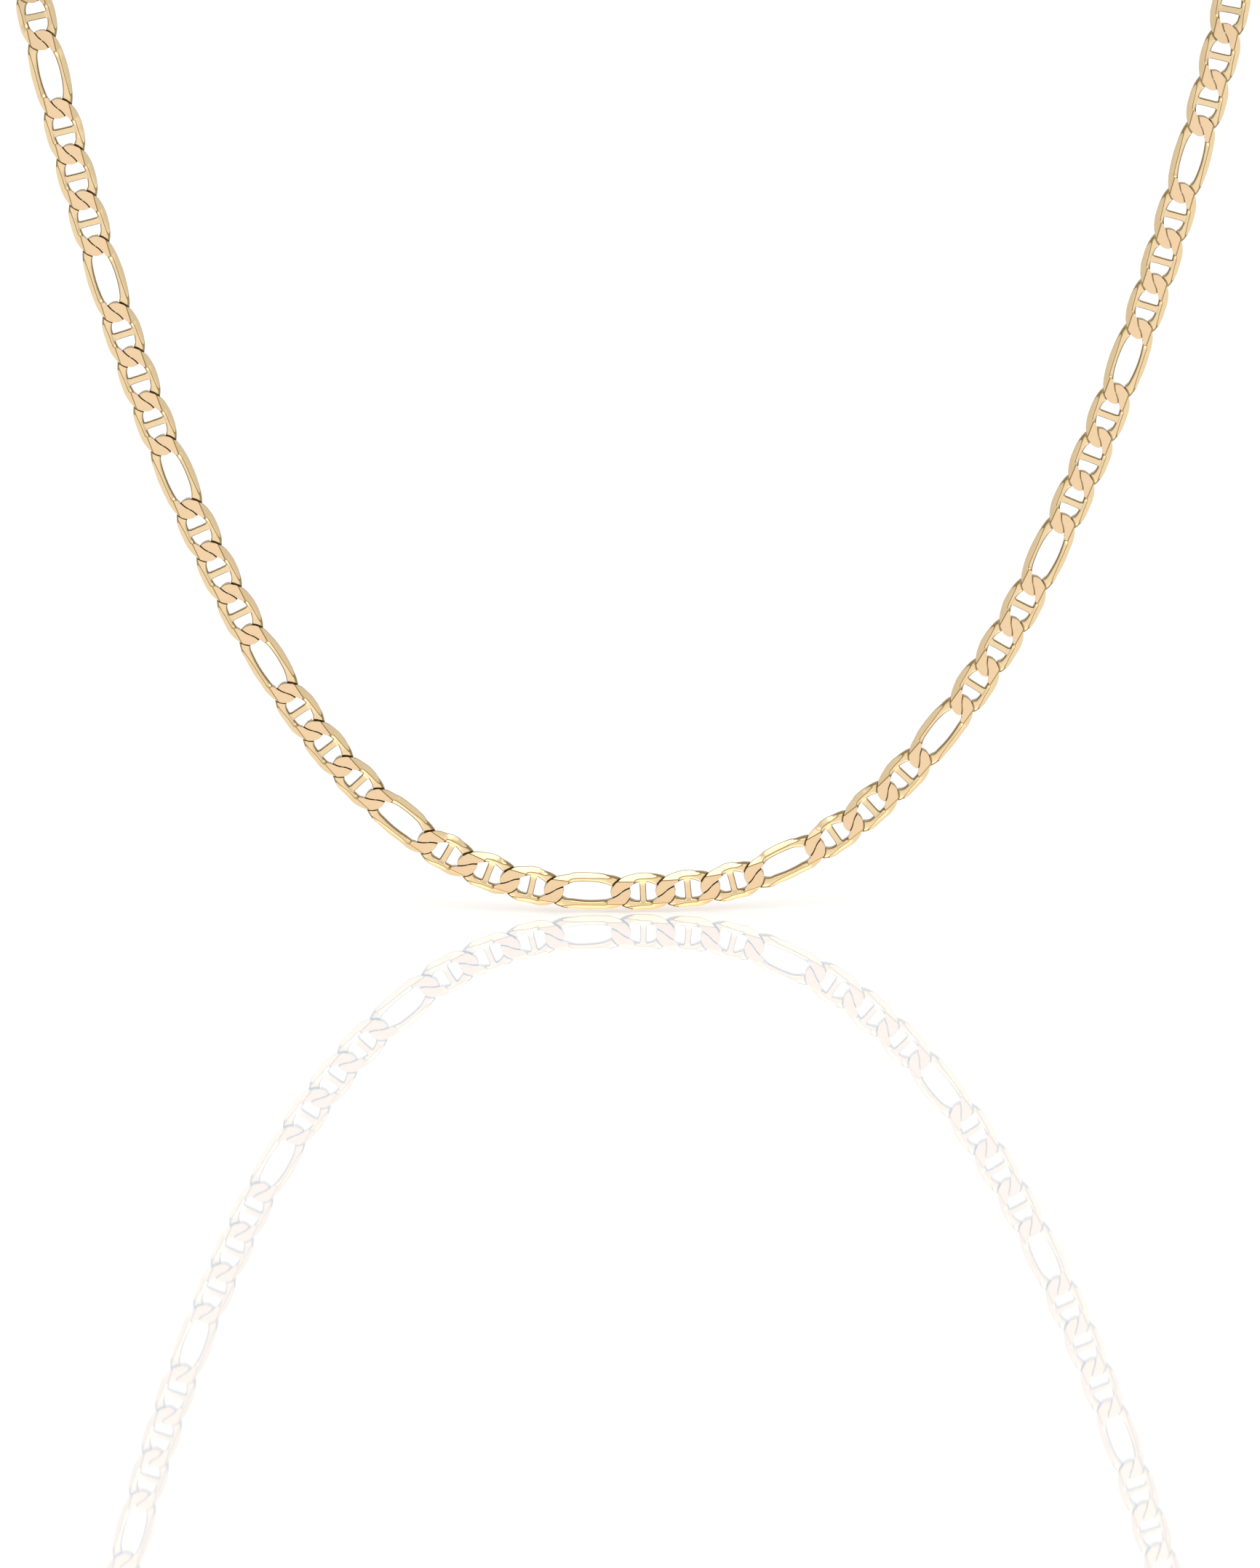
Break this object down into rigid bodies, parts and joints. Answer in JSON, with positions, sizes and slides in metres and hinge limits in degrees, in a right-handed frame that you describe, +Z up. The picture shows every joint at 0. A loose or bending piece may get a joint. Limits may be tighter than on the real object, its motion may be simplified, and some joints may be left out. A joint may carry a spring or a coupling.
{
  "type": "figaro chain necklace",
  "caption": "Flat gold figaro-mariner necklace: short links with a bar across and long open links by turns, closed by a clasp, in the shape it has when worn.",
  "frame": {"origin": "the point of the nape that the inner face of the clasp rests on, at the back of the necklace", "axes": "+Z up, the front of the necklace faces -Y, +X to the right seen from the front"},
  "size_m": [0.1366, 0.076, 0.1287],
  "materials": {
    "gold": "polished yellow gold with flat diamond-cut faces"
  },
  "bodies": {
    "root": {"chain_left": "gold", "chain_right": "gold", "jump_ring_left": "gold", "jump_ring_right": "gold", "clasp": "gold"}
  },
  "joints": []
}
